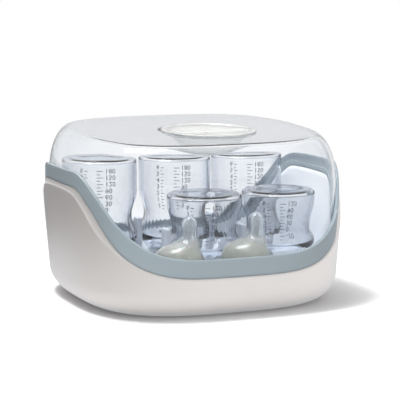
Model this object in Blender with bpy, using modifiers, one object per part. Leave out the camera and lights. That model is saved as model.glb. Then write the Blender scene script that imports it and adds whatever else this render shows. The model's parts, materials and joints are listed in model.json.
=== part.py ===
"""Microwave steam bottle sterilizer: white shell and basin, grey rim band, white rack, clear lid and load.

Metres, +Z up, front towards -Y, origin at the middle of the footprint on the surface it stands on.
The shell, the basin, the band and the lid are lofts through one rounded plan outline.
The rim rises at both ends.
"""
import math

import bmesh
import bpy
import numpy as np

# Overall body
LENGTH = 0.270            # along X, over the shell's lip
DEPTH = 0.252             # along Y, over the shell's lip
PLAN_POWER = 3.0          # exponent of the rounded plan outline
RING_POINTS = 44          # corners round each loft ring
LIP_HEIGHT = 0.108        # height of the widest part of the two ends, under the grip ledge
TAPER_X = 0.078           # the ends lean in by this much per metre below the lip height
TAPER_Y = 0.012           # and the front and back by this much
BOTTOM_ROUND = 0.026      # round between the sides and the underside

# Rim band
RIM_LOW = 0.0541          # band's top edge at the middle of the front and back
RIM_HIGH = 0.1288         # band's top edge at the two ends
RIM_SPREAD = 80.8         # degrees of plan angle from the middle of the front to the full end height
RIM_POWER = 1.63
BAND_WIDTH = 0.0169       # at the front and back
BAND_END = 0.0140         # its width at the ends
BAND_WALL = 0.0030
BAND_EDGE = 0.0008        # chamfer of the band's outer top edge

# Grip ledge under the band
LEDGE_SMALL = 0.0012      # drop of the ledge at the front
LEDGE_LARGE = 0.0105      # its drop where it is deepest
LEDGE_END = 0.0038        # its drop at the ends
LEDGE_START = 46.0        # degrees of plan angle where it starts to grow
LEDGE_FULL = 66.0         # where it is deepest
LEDGE_EASE = 58.0         # and where it starts to ease towards the ends
STEP_SMALL = 0.0010       # how far the band stands back from the lip at the front
STEP_LARGE = 0.0036       # where the ledge is deepest
STEP_END = 0.0012         # and at the ends

# Walls and clearances
SHELL_WALL = 0.0026
BASIN_WALL = 0.0026
NEST_GAP = 0.0014         # air between the basin and the shell
FIT_GAP = 0.0003          # gap between pieces that rest on each other
LID_WALL = 0.0022
LID_SEAT_DROP = 0.0090    # the lid's foot sits this far below the band's top edge
LID_SIDE_GAP = 0.00035
SEAT_MARGIN = 0.0006      # the lid's seat is this much wider than the lid's wall

# Lid
LID_HEADROOM = 0.0285     # from the tall bottles' bases up to the flat top, at y = 0
LID_TILT = 0.045          # its rise towards the back, per metre
LID_ROUND = 0.0475        # height of the round between the skirt and the top
LID_ROUND_IN = 0.0200     # and its reach inwards
HANDLE_X = 0.0105
HANDLE_Y = -0.0180
OPENING_RADIUS = 0.0421

# Handle cup
FLANGE_REACH = 0.0030     # flange past the opening
FLANGE_THICK = 0.0016
FLANGE_EDGE = 0.0008      # chamfer of its outer top edge
CUP_GAP = 0.0005          # cup to opening
CUP_DEPTH = 0.0215
CUP_WALL = 0.0020
GRIP_WIDTH = 0.0150
GRIP_THICK = 0.0055
GRIP_DROP = 0.0012        # grip below the flange's top
GRIP_EDGE = 0.0012
CUP_SEGMENTS = 28

# Rack
RACK_DECK = 0.0122        # underside of the deck
DECK_THICK = 0.0025
RACK_GAP = 0.0025         # deck edge to basin wall
LEG_RADIUS = 0.0040
LEG_SPREAD = 0.0800       # legs either side of the middle
LEG_BACK = 0.0700
LEG_FRONT = -0.0620
BOTTLE_GAP = 0.0064       # between two neighbouring bottles
ROW_MIDDLE = 0.0055       # halfway between the two rows of bottles
COLLAR_WALL = 0.0016
COLLAR_HEIGHT = 0.0050
DRAIN_RADIUS = 0.0130
POST_WIDTH = 0.0050       # upright between two bottles, along X
POST_DEPTH = 0.0130       # and along Y
POST_TOP = 0.0700
POST_EDGE = 0.0008
SLOT_LENGTH = 0.0160
SLOT_WIDTH = 0.0042
SLOT_PITCH = 0.0220
SLOT_ROW_STEP = 0.0110
SLOT_MARGIN = 0.0075      # middle of a slot to the wall beside it
CUT_PAST = 0.0020         # how far a hole's cutter passes the deck

# Bottles, stood neck down
BOTTLE_RADIUS = 0.0353
WAIST_DEPTH = 0.0053      # how far the waist draws in
NECK_STEP = 0.0103        # and the neck
BEAD_REACH = 0.0018       # bead past the neck
BOTTLE_WALL = 0.0016
TALL_HEIGHT = 0.1156
TALL_WAIST = 0.0585       # narrowest level above the mouth
TALL_REACH = 0.0240       # from the waist to full width, towards the base
SHORT_HEIGHT = 0.0866
SHORT_WAIST = 0.0500
SHORT_REACH = 0.0290
SHOULDER = 0.0385         # level above the mouth where the body has its full width
BASE_ROUND = 0.0032
DIMPLE_DEPTH = 0.0030
NECK_GAP = 0.0005         # neck to collar
BOTTLE_SEGMENTS = 16

# Teats
TEAT_FRONT_GAP = 0.0115   # flange to the front of the body outline
TEAT_LEFT_X = -0.048
TEAT_RIGHT_X = 0.018
TEAT_SEAT = 0.0400        # top of the rack's teat seats
TEAT_HEIGHT = 0.0498
TEAT_RADIUS = 0.0240
TEAT_WALL = 0.0018
TEAT_SEAT_BORE = 0.0075
NIPPLE_RADIUS = 0.0074
NIPPLE_LEAN = 0.0100      # the nipple stands this far to one side of the dome
TEAT_SEGMENTS = 16

PARTS = "bottle_sterilizer"
CUTTERS = "bottle_sterilizer_cutters"


def clear_scene():
    for item in list(bpy.data.objects):
        bpy.data.objects.remove(item, do_unlink=True)
    for name in (PARTS, CUTTERS):
        old = bpy.data.collections.get(name)
        if old:
            bpy.data.collections.remove(old)
        bpy.context.scene.collection.children.link(bpy.data.collections.new(name))


def material(name, color, roughness, alpha=1.0, transmission=0.0):
    made = bpy.data.materials.new(name)
    made.use_nodes = True
    shader = made.node_tree.nodes["Principled BSDF"]
    shader.inputs["Base Color"].default_value = (*color, 1.0)
    shader.inputs["Roughness"].default_value = roughness
    shader.inputs["Transmission Weight"].default_value = transmission
    shader.inputs["Alpha"].default_value = alpha
    return made


def add_part(name, mesh, finish, smooth_angle=35.0):
    """A named object in the parts collection, round stretches shaded smooth."""
    item = bpy.data.objects.new(name, mesh)
    bpy.data.collections[PARTS].objects.link(item)
    mesh.materials.clear()
    mesh.materials.append(finish)
    mesh.shade_smooth()
    mesh.set_sharp_from_angle(angle=math.radians(smooth_angle))
    return item


def add_cutter(item):
    """Moves an object to the cutters, which only shape the parts."""
    for home in list(item.users_collection):
        home.objects.unlink(item)
    bpy.data.collections[CUTTERS].objects.link(item)
    item.display_type = 'WIRE'
    item.hide_render = True


def combine(target, tool, operation):
    boolean = target.modifiers.new(operation.lower(), 'BOOLEAN')
    boolean.operation = operation
    boolean.solver = 'EXACT'
    boolean.object = tool
    add_cutter(tool)


def loft(rings, closed):
    """Mesh through a stack of equal rings: capped at both ends, or closed from last to first."""
    count = len(rings[0])
    mesh = bpy.data.meshes.new("loft")
    work = bmesh.new()
    rows = [[work.verts.new(point) for point in ring] for ring in rings]
    pairs = list(zip(rows, rows[1:]))
    if closed:
        pairs.append((rows[-1], rows[0]))
    else:
        work.faces.new(list(reversed(rows[0])))
        work.faces.new(rows[-1])
    for low, high in pairs:
        for i in range(count):
            j = (i + 1) % count
            work.faces.new((low[i], low[j], high[j], high[i]))
    bmesh.ops.triangulate(work, faces=[face for face in work.faces if len(face.verts) == 4])
    bmesh.ops.recalc_face_normals(work, faces=work.faces)
    work.to_mesh(mesh)
    work.free()
    return mesh


def turned(name, profile, segments, finish, x, y, smooth_angle=35.0):
    """A profile of (radius, height) turned round the upright axis at x, y."""
    mesh = bpy.data.meshes.new(name)
    points = [(radius, 0.0, height) for radius, height in profile]
    mesh.from_pydata(points, [(i, i + 1) for i in range(len(points) - 1)], [])
    item = add_part(name, mesh, finish, smooth_angle)
    item.location = (x, y, 0.0)
    screw = item.modifiers.new("turn", 'SCREW')
    screw.steps = segments
    screw.render_steps = segments
    screw.use_merge_vertices = True
    screw.merge_threshold = 0.00001
    return item


def bake(item):
    """Replaces an object by its evaluated mesh, so that it can be cut, joined or used as a cutter."""
    graph = bpy.context.evaluated_depsgraph_get()
    graph.update()
    mesh = bpy.data.meshes.new_from_object(item.evaluated_get(graph))
    mesh.transform(item.matrix_world)
    made = bpy.data.objects.new(item.name + "_solid", mesh)
    bpy.context.scene.collection.objects.link(made)
    bpy.data.objects.remove(item, do_unlink=True)
    return made


def block(size, centre):
    """A box of the given size, its middle at the given point."""
    mesh = bpy.data.meshes.new("block")
    work = bmesh.new()
    bmesh.ops.create_cube(work, size=1.0)
    bmesh.ops.scale(work, vec=size, verts=work.verts)
    bmesh.ops.translate(work, vec=centre, verts=work.verts)
    work.to_mesh(mesh)
    work.free()
    item = bpy.data.objects.new("block", mesh)
    bpy.context.scene.collection.objects.link(item)
    return item


def cylinder(radius, low, high, x, y, segments=20):
    """An upright cylinder between two heights."""
    mesh = bpy.data.meshes.new("cylinder")
    work = bmesh.new()
    bmesh.ops.create_cone(work, cap_ends=True, segments=segments, radius1=radius, radius2=radius,
                          depth=high - low)
    bmesh.ops.translate(work, vec=(x, y, (low + high) / 2), verts=work.verts)
    work.to_mesh(mesh)
    work.free()
    item = bpy.data.objects.new("cylinder", mesh)
    bpy.context.scene.collection.objects.link(item)
    return item


def smooth_step(value):
    value = np.clip(value, 0.0, 1.0)
    return value * value * (3.0 - 2.0 * value)


# Plan outline and rim, one value for each corner of a ring
ANGLES = np.linspace(0.0, 2.0 * math.pi, RING_POINTS, endpoint=False)
UNIT_X = np.sign(np.cos(ANGLES)) * np.abs(np.cos(ANGLES)) ** (2.0 / PLAN_POWER)
UNIT_Y = np.sign(np.sin(ANGLES)) * np.abs(np.sin(ANGLES)) ** (2.0 / PLAN_POWER)
FROM_MIDDLE = np.degrees(np.arctan2(np.abs(np.cos(ANGLES)), np.abs(np.sin(ANGLES))))
RIM_SHARE = smooth_step(np.clip(FROM_MIDDLE / RIM_SPREAD, 0.0, 1.0) ** RIM_POWER)
RIM_TOP = RIM_LOW + (RIM_HIGH - RIM_LOW) * RIM_SHARE
RUN = np.hypot(np.roll(UNIT_X, -1) - np.roll(UNIT_X, 1), np.roll(UNIT_Y, -1) - np.roll(UNIT_Y, 1))
RIM_SLOPE = (np.roll(RIM_TOP, -1) - np.roll(RIM_TOP, 1)) / (RUN * (LENGTH + DEPTH) / 4.0)
STEEP = np.sqrt(1.0 + RIM_SLOPE ** 2)
GROWTH = smooth_step((FROM_MIDDLE - LEDGE_START) / (LEDGE_FULL - LEDGE_START))
EASE = smooth_step((FROM_MIDDLE - LEDGE_EASE) / (90.0 - LEDGE_EASE))
STEP = STEP_SMALL + (STEP_LARGE - STEP_SMALL) * GROWTH - (STEP_LARGE - STEP_END) * EASE
NARROWING = smooth_step((FROM_MIDDLE - LEDGE_START) / (90.0 - LEDGE_START))
BAND_FOOT = RIM_TOP - (BAND_WIDTH - (BAND_WIDTH - BAND_END) * NARROWING) * STEEP
LIP = BAND_FOOT - LEDGE_SMALL - (LEDGE_LARGE - LEDGE_SMALL) * GROWTH + (LEDGE_LARGE - LEDGE_END) * EASE
SEAT = RIM_TOP - LID_SEAT_DROP * STEEP


def ring(inset, height):
    """Ring of the body outline at a height, moved in from the outer face; both may vary round the ring."""
    height = np.broadcast_to(np.asarray(height, float), ANGLES.shape)
    lean = np.maximum(LIP_HEIGHT - height, 0.0)
    x = UNIT_X * (LENGTH / 2 - TAPER_X * lean - inset)
    y = UNIT_Y * (DEPTH / 2 - TAPER_Y * lean - inset)
    return np.stack([x, y, height], axis=1)


def bottom_rings(depth, steps):
    """The rounded bottom of a skin that lies a depth inside the shell's outer face, from below upwards."""
    rings = []
    for turn in np.linspace(0.0, math.pi / 2, steps):
        inset = BOTTOM_ROUND - (BOTTOM_ROUND - depth) * math.sin(turn)
        height = BOTTOM_ROUND - (BOTTOM_ROUND - depth) * math.cos(turn)
        rings.append(ring(inset, height))
    return rings


def wall_rings(depth, top_inset, top_height, steps, turn_in=0.72):
    """Rings from the rounded bottom to a rim, easing from one inset to another near the rim."""
    rings = []
    for part in np.linspace(0.0, 1.0, steps + 1)[1:]:
        ease = smooth_step((part - turn_in) / (1.0 - turn_in))
        height = BOTTOM_ROUND + (top_height - BOTTOM_ROUND) * part
        rings.append(ring(depth + (top_inset - depth) * ease, height))
    return rings


BASIN_SKIN = SHELL_WALL + NEST_GAP
BASIN_FACE = BASIN_SKIN + BASIN_WALL
SHELL_MOUTH = STEP + BAND_WALL                    # inner edge of the shell's rim
BASIN_OUTSIDE = SHELL_MOUTH + NEST_GAP / 2        # basin's outer wall just under the band
LID_OUTSIDE = STEP + BAND_WALL + LID_SIDE_GAP
LID_INSIDE = LID_OUTSIDE + LID_WALL
BASIN_MOUTH = LID_INSIDE + SEAT_MARGIN            # basin's inner edge, under the lid's foot


def make_shell(finish):
    """Outer shell: rounded bottom, leaning sides, lip, ledge and the flat rim that carries the band."""
    rings = bottom_rings(0.0, 6)
    for part in (0.25, 0.5, 0.75, 0.93):
        rings.append(ring(0.0, BOTTOM_ROUND + (LIP - BOTTOM_ROUND) * part))
    rings.append(ring(0.0, LIP))
    rim = BAND_FOOT - FIT_GAP
    rings.append(ring(STEP * 0.45, LIP + (rim - LIP) * 0.62))
    rings.append(ring(STEP, rim))
    rings.append(ring(SHELL_MOUTH, rim))
    inner = wall_rings(SHELL_WALL, SHELL_MOUTH, rim, 5)[:-1]
    rings += list(reversed(inner))
    rings += list(reversed(bottom_rings(SHELL_WALL, 5)))
    return add_part("outer_shell", loft(rings, False), finish)


def make_basin(finish):
    """Water basin that nests in the shell; its wall ends level with the shell's rim, under the band."""
    rim = BAND_FOOT - FIT_GAP
    rings = bottom_rings(BASIN_SKIN, 5)
    rings += wall_rings(BASIN_SKIN, BASIN_OUTSIDE, rim, 5)
    rings += list(reversed(wall_rings(BASIN_FACE, BASIN_MOUTH, rim, 5)))
    rings += list(reversed(bottom_rings(BASIN_FACE, 5)))
    return add_part("inner_basin", loft(rings, False), finish)


def make_band(finish):
    """Grey band that caps the rims of the shell and the basin, with a shelf inside for the lid's foot."""
    lid_face = STEP + BAND_WALL
    rings = [ring(STEP, BAND_FOOT), ring(STEP, RIM_TOP - BAND_EDGE), ring(STEP + BAND_EDGE, RIM_TOP),
             ring(lid_face, RIM_TOP), ring(lid_face, SEAT), ring(BASIN_MOUTH, SEAT),
             ring(BASIN_MOUTH, BAND_FOOT)]
    return add_part("rim_band", loft(rings, True), finish)


def lid_top(y, drop):
    """Height of the lid's flat top at y, a drop below its outer face."""
    return LID_TOP + LID_TILT * y - drop


def lid_skin(inset, foot, drop):
    """One face of the lid from its foot to the handle's opening, a drop below the outer face."""
    rings = []
    for share in (0.0, 0.2, 0.38, 0.54, 0.68, 0.80, 0.91, 1.0):
        edge = ring(inset + LID_ROUND_IN - drop, LIP_HEIGHT)
        top = lid_top(edge[:, 1], drop)
        height = foot + (top - foot) * math.sin(share * math.pi / 2)
        rise = np.clip((height - top + LID_ROUND - drop) / (LID_ROUND - drop), 0.0, 1.0)
        level = ring(inset + (LID_ROUND_IN - drop) * (1 - np.sqrt(1 - rise ** 2)), height)
        rings.append(level)
    bearing = np.arctan2(level[:, 1] - HANDLE_Y, level[:, 0] - HANDLE_X)
    mouth_x = HANDLE_X + OPENING_RADIUS * np.cos(bearing)
    mouth_y = HANDLE_Y + OPENING_RADIUS * np.sin(bearing)
    rings.append(np.stack([mouth_x, mouth_y, lid_top(mouth_y, drop)], axis=1))
    return rings


def make_lid(finish):
    """Clear cover: skirt that follows the wavy rim, rounded edge, sloping flat top and a round opening."""
    foot = SEAT + FIT_GAP
    outside = lid_skin(LID_OUTSIDE, foot, 0.0)
    inside = lid_skin(LID_INSIDE, foot, LID_WALL)
    return add_part("lid", loft(outside + list(reversed(inside)), True), finish)


def cup_height(radius, rim_radius, depth):
    """Depth of a rounded bowl below its rim at a radius."""
    return depth * (1.0 - (radius / rim_radius) ** 2.6)


def make_handle(finish):
    """Cup with a flange on the lid's opening and a grip bar across it, moulded in one piece."""
    seat = FIT_GAP
    top = seat + FLANGE_THICK
    outer = OPENING_RADIUS - CUP_GAP
    inner = outer - CUP_WALL
    shares = (0.0, 0.3, 0.5, 0.66, 0.8, 0.91, 1.0)
    inside = [(inner * share, top - cup_height(inner * share, inner, CUP_DEPTH)) for share in shares]
    reach = OPENING_RADIUS + FLANGE_REACH
    flange = [(reach - FLANGE_EDGE, top), (reach, top - FLANGE_EDGE), (reach, seat), (outer, seat)]
    outside = [(outer * share, seat - cup_height(outer * share, outer, CUP_DEPTH + CUP_WALL - FLANGE_THICK))
               for share in shares[::-1]]
    cup = turned("lid_handle", inside + flange + outside[1:], CUP_SEGMENTS, finish, HANDLE_X, HANDLE_Y)
    span = 2 * inner + CUP_WALL * 0.9
    bar = block((span, GRIP_WIDTH, GRIP_THICK), (0.0, 0.0, top - GRIP_DROP - GRIP_THICK / 2))
    for item in (cup, bar):
        item.location = (HANDLE_X, HANDLE_Y, lid_top(HANDLE_Y, 0.0))
        item.rotation_euler = (math.atan(LID_TILT), 0.0, 0.0)
    bevel = bar.modifiers.new("round", 'BEVEL')
    bevel.width = GRIP_EDGE
    bevel.segments = 1
    combine(cup, bake(bar), 'UNION')
    return cup


def slot(x, y, along_x, low, high):
    """A cutter with two round ends, for a drain slot through the deck."""
    straight = SLOT_LENGTH - SLOT_WIDTH
    outline = []
    for centre, start in ((straight / 2, -90.0), (-straight / 2, 90.0)):
        for step in range(5):
            turn = math.radians(start + 45.0 * step)
            outline.append((centre + SLOT_WIDTH / 2 * math.cos(turn), SLOT_WIDTH / 2 * math.sin(turn)))
    if not along_x:
        outline = [(-v, u) for u, v in outline]
    rings = [[(x + u, y + v, height) for u, v in outline] for height in (low, high)]
    item = bpy.data.objects.new("slot", loft(rings, False))
    bpy.context.scene.collection.objects.link(item)
    return item


def deck_inset(height):
    """How far the deck's edge stays inside the body outline to clear the basin's rounded wall."""
    radius = BOTTOM_ROUND - BASIN_FACE
    across = math.sqrt(radius ** 2 - (BOTTOM_ROUND - height) ** 2)
    return BOTTOM_ROUND - across + RACK_GAP


PITCH = 2 * BOTTLE_RADIUS + BOTTLE_GAP
ROW_BACK = ROW_MIDDLE + PITCH / 2
ROW_FRONT = ROW_MIDDLE - PITCH / 2
TEAT_Y = TEAT_FRONT_GAP + TEAT_RADIUS - DEPTH / 2
BOTTLE_PLACES = [(column * PITCH, row) for row in (ROW_BACK, ROW_FRONT) for column in (-1, 0, 1)]
POST_PLACES = [(side * PITCH / 2, row) for row in (ROW_BACK, ROW_FRONT) for side in (-1, 1)]
TEAT_PLACES = [(TEAT_LEFT_X, TEAT_Y), (TEAT_RIGHT_X, TEAT_Y)]
DECK_TOP = RACK_DECK + DECK_THICK
LID_TOP = DECK_TOP + FIT_GAP + TALL_HEIGHT + LID_HEADROOM
NECK_RADIUS = BOTTLE_RADIUS - NECK_STEP
BEAD_RADIUS = NECK_RADIUS + BEAD_REACH
COLLAR_REACH = NECK_RADIUS + NECK_GAP + COLLAR_WALL


def slot_places():
    """Drain slots: between the rows, behind the back row, beside the uprights and round the teat seats."""
    places = [(column * SLOT_PITCH, ROW_MIDDLE, True) for column in range(-3, 4)]
    for row, columns in ((1, (-2, -1, 0, 1, 2)), (2, (-1.5, -0.5, 0.5, 1.5))):
        behind = ROW_BACK + COLLAR_REACH + SLOT_MARGIN + (row - 1) * SLOT_ROW_STEP
        places += [(column * SLOT_PITCH, behind, True) for column in columns]
    beside = POST_DEPTH / 2 + SLOT_MARGIN
    places += [(side * PITCH / 2, ROW_BACK + beside, True) for side in (-1, 1)]
    places += [(side * PITCH / 2, ROW_FRONT - beside, True) for side in (-1, 1)]
    between = (TEAT_LEFT_X + TEAT_RIGHT_X) / 2
    aside = TEAT_RADIUS + SLOT_MARGIN
    places += [(x, TEAT_Y, False) for x in (between, TEAT_LEFT_X - aside, TEAT_RIGHT_X + aside)]
    return places


def make_rack(finish):
    """Deck of the rack, with a drain hole under each bottle and slots between them."""
    inset = deck_inset(RACK_DECK)
    rack = add_part("bottle_rack", loft([ring(inset, RACK_DECK), ring(inset, DECK_TOP)], False), finish)
    low = RACK_DECK - CUT_PAST
    high = DECK_TOP + CUT_PAST
    for x, y in BOTTLE_PLACES:
        combine(rack, cylinder(DRAIN_RADIUS, low, high, x, y, 16), 'DIFFERENCE')
    for x, y, along_x in slot_places():
        combine(rack, slot(x, y, along_x, low, high), 'DIFFERENCE')
    return rack


def make_collar(name, x, y, finish):
    """Low ring on the deck that keeps a bottle's neck in its place."""
    inner = NECK_RADIUS + NECK_GAP
    foot = DECK_TOP + FIT_GAP
    top = foot + COLLAR_HEIGHT
    profile = [(inner, top), (COLLAR_REACH, top), (COLLAR_REACH, foot), (inner, foot), (inner, top)]
    return turned(name, profile, BOTTLE_SEGMENTS, finish, x, y)


def make_post(name, x, y, finish):
    """Upright on the deck between two bottles, its edges eased."""
    foot = DECK_TOP + FIT_GAP
    post = block((POST_WIDTH, POST_DEPTH, POST_TOP - foot), (x, y, (POST_TOP + foot) / 2))
    bevel = post.modifiers.new("round", 'BEVEL')
    bevel.width = POST_EDGE
    bevel.segments = 1
    made = bake(post)
    item = add_part(name, made.data.copy(), finish)
    bpy.data.objects.remove(made, do_unlink=True)
    return item


def make_foot(name, x, y, finish):
    """Short round foot between the basin's floor and the deck."""
    low = BASIN_FACE + FIT_GAP
    high = RACK_DECK - FIT_GAP
    profile = [(0.0, high), (LEG_RADIUS, high), (LEG_RADIUS, low), (0.0, low)]
    return turned(name, profile, 12, finish, x, y)


def make_teat_seat(name, x, y, finish):
    """Hollow pedestal with a round top plate that carries a teat's flange."""
    bore = TEAT_SEAT_BORE
    foot = DECK_TOP + FIT_GAP
    profile = [(bore, TEAT_SEAT), (TEAT_RADIUS, TEAT_SEAT), (TEAT_RADIUS, TEAT_SEAT - 0.0020),
               (bore + 0.0030, TEAT_SEAT - 0.0032), (bore + 0.0045, foot), (bore + 0.0020, foot),
               (bore, TEAT_SEAT - 0.0040), (bore, TEAT_SEAT)]
    return turned(name, profile, 16, finish, x, y)


def bottle_radius(level, waist, reach):
    """Outer radius of a bottle's body at a level above its mouth: a waist between two full rounds."""
    share = (level - waist) / (reach if level > waist else waist - SHOULDER)
    dip = 0.5 + 0.5 * math.cos(math.pi * max(-1.0, min(share, 1.0)))
    return BOTTLE_RADIUS - WAIST_DEPTH * dip


def make_bottle(name, x, y, shape, finish):
    """Hollow bottle standing on its mouth: neck, bead, shoulder, waist, straight body and dimpled base."""
    height, waist, reach = shape
    mouth = DECK_TOP + FIT_GAP
    top = height - BASE_ROUND
    levels = [waist + reach * share for share in (1.0, 0.65, 0.35, 0.0)]
    levels += [waist - (waist - SHOULDER) * share for share in (0.4, 0.75, 1.0)]
    body = [(bottle_radius(level, waist, reach), level) for level in levels if level < top - BASE_ROUND]
    body += [(BOTTLE_RADIUS - 0.0040, SHOULDER - 0.0065), (BEAD_RADIUS + 0.0016, SHOULDER - 0.0125)]
    neck = [(BEAD_RADIUS, SHOULDER - 0.0145), (BEAD_RADIUS, SHOULDER - 0.0175),
            (NECK_RADIUS, SHOULDER - 0.0190), (NECK_RADIUS, 0.0)]
    base = [(0.0, height - DIMPLE_DEPTH), (BOTTLE_RADIUS * 0.60, height - DIMPLE_DEPTH * 0.35),
            (BOTTLE_RADIUS * 0.76, height), (BOTTLE_RADIUS - BASE_ROUND, height),
            (BOTTLE_RADIUS - BASE_ROUND * 0.3, height - BASE_ROUND * 0.3), (BOTTLE_RADIUS, top)]
    inner = [(NECK_RADIUS - BOTTLE_WALL, 0.0), (NECK_RADIUS - BOTTLE_WALL, SHOULDER - 0.0125)]
    inner += [(radius - BOTTLE_WALL, level) for radius, level in reversed(body[:-1])]
    inner += [(BOTTLE_RADIUS - BOTTLE_WALL, top - BOTTLE_WALL),
              (BOTTLE_RADIUS - BOTTLE_WALL - BASE_ROUND, height - BOTTLE_WALL * 1.6),
              (BOTTLE_RADIUS * 0.60, height - DIMPLE_DEPTH * 0.35 - BOTTLE_WALL * 1.6),
              (0.0, height - DIMPLE_DEPTH - BOTTLE_WALL * 1.5)]
    profile = [(radius, mouth + level) for radius, level in base + body + neck + inner]
    return turned(name, profile, BOTTLE_SEGMENTS, finish, x, y)


def teat_lean(level):
    """Sideways place of the teat's middle line at a share of its height: the dome stays upright."""
    return NIPPLE_LEAN * float(smooth_step((level - 0.36) / 0.24))


def make_teat(name, x, y, finish):
    """Silicone teat: flange, dome and a nipple to one side, hollow and open below."""
    foot = TEAT_SEAT + FIT_GAP
    tip = 1.0 - NIPPLE_RADIUS / TEAT_HEIGHT
    dome = ((0.0, 1.0), (0.080, 1.0), (0.200, 0.970), (0.320, 0.880), (0.420, 0.730), (0.510, 0.500))
    outer = [(TEAT_RADIUS * radius, level) for level, radius in dome]
    outer += [(NIPPLE_RADIUS * 1.05, 0.62), (NIPPLE_RADIUS * 0.90, 0.72), (NIPPLE_RADIUS, tip)]
    for turn in (0.5, 1.0, 1.45):
        outer.append((NIPPLE_RADIUS * math.cos(turn), tip + (1.0 - tip) * math.sin(turn)))
    inner = [(max(radius - TEAT_WALL, TEAT_WALL * 0.3), level - TEAT_WALL / TEAT_HEIGHT * level)
             for radius, level in outer]
    turns = np.linspace(0.0, 2.0 * math.pi, TEAT_SEGMENTS, endpoint=False)
    rings = []
    for radius, level in inner[::-1] + outer:
        across = x + teat_lean(level) + radius * np.cos(turns)
        along = y + radius * np.sin(turns)
        height = np.full(TEAT_SEGMENTS, foot + TEAT_HEIGHT * level)
        rings.append(np.stack([across, along, height], axis=1))
    return add_part(name, loft(rings, False), finish)


def main():
    clear_scene()
    white = material("white_shell", (0.86, 0.85, 0.84), 0.35)
    grey = material("grey_band", (0.30, 0.36, 0.39), 0.45)
    rack_white = material("rack_white", (0.88, 0.90, 0.93), 0.40)
    clear = material("clear_lid", (0.93, 0.96, 0.98), 0.05, alpha=0.35, transmission=1.0)
    milky = material("milky_handle", (0.93, 0.94, 0.95), 0.25, alpha=0.75, transmission=0.5)
    bottle = material("clear_bottle", (0.90, 0.94, 0.97), 0.05, alpha=0.45, transmission=1.0)
    silicone = material("silicone_teat", (0.93, 0.92, 0.86), 0.30, alpha=0.85, transmission=0.3)
    make_shell(white)
    make_basin(white)
    make_band(grey)
    make_rack(rack_white)
    columns = ("left", "middle", "right")
    places = [row + column for row in ("back_", "front_") for column in columns]
    for place, (x, y) in zip(places, BOTTLE_PLACES):
        make_collar("collar_" + place, x, y, rack_white)
    for place, (x, y) in zip(("back_left", "back_right", "front_left", "front_right"), POST_PLACES):
        make_post("upright_" + place, x, y, rack_white)
    for column, x in zip(columns, (-LEG_SPREAD, 0.0, LEG_SPREAD)):
        for row, y in (("back_", LEG_BACK), ("front_", LEG_FRONT)):
            make_foot("foot_" + row + column, x, y, rack_white)
    for side, (x, y) in zip(("left", "right"), TEAT_PLACES):
        make_teat_seat("teat_seat_" + side, x, y, rack_white)
    make_lid(clear)
    make_handle(milky)
    back = ("bottle_back_left", "bottle_back_middle", "bottle_back_right")
    for name, (x, y) in zip(back, BOTTLE_PLACES[:3]):
        make_bottle(name, x, y, (TALL_HEIGHT, TALL_WAIST, TALL_REACH), bottle)
    for name, (x, y) in zip(("bottle_front_middle", "bottle_front_right"), BOTTLE_PLACES[4:]):
        make_bottle(name, x, y, (SHORT_HEIGHT, SHORT_WAIST, SHORT_REACH), bottle)
    for name, (x, y) in zip(("teat_left", "teat_right"), TEAT_PLACES):
        make_teat(name, x, y, silicone)


main()
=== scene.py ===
"""Looks of a microwave steam bottle sterilizer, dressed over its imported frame. Metres, +Z up, front towards -Y."""
import json
import math

import bpy
import numpy as np
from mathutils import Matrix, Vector

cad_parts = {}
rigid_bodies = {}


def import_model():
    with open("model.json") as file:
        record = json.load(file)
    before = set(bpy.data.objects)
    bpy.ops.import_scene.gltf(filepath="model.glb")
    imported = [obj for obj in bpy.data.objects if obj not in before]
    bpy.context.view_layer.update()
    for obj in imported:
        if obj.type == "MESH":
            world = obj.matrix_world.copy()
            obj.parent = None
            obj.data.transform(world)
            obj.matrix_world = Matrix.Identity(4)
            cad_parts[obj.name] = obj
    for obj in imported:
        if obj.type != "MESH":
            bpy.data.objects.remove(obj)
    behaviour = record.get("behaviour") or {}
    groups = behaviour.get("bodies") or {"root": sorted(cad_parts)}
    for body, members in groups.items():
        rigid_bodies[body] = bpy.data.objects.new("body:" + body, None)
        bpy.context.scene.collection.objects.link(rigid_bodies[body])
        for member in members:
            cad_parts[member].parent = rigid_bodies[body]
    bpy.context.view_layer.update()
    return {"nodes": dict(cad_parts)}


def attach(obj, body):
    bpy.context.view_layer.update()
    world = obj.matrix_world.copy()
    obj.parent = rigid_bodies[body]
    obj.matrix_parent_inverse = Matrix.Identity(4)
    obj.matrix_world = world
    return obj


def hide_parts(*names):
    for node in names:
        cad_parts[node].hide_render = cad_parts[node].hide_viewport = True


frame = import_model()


# ---------------------------------------------------------------------------------------------- outer shell
# The shell is one injection-moulded tub of warm white plastic, satin outside, with a rounded bottom.
# Its two ends rise into humps, and under the grey band they carry a sculpted ledge to lift it by.
LENGTH = 0.270
DEPTH = 0.252
PLAN_POWER = 3.0
LIP_HEIGHT = 0.108
TAPER_X = 0.078
TAPER_Y = 0.012
BOTTOM_ROUND = 0.026
RIM_LOW = 0.0541
RIM_HIGH = 0.1288
RIM_SPREAD = 80.8  # degrees from the front or the back to where the wave is highest
RIM_POWER = 1.63
BAND_WIDTH = 0.0169
BAND_END = 0.0140
BAND_WALL = 0.0030
LEDGE_SMALL = 0.0012
LEDGE_LARGE = 0.0105
LEDGE_END = 0.0038
LEDGE_START = 46.0  # degrees from the front or the back, as are the next two
LEDGE_FULL = 66.0
LEDGE_EASE = 58.0
STEP_SMALL = 0.0010
STEP_LARGE = 0.0036
STEP_END = 0.0012
SHELL_WALL = 0.0026
FIT_GAP = 0.0003
LIP_ROUND = 0.0009
LIP_DRAW = 0.0005
EDGE_ROUND = 0.0003
EDGE_CROWN = 0.00005
COVE_POWER = 1.7
MOUTH_EASE = 0.28  # share of the wall's height over which it eases to its mouth
RING_POINTS = 288
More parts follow.
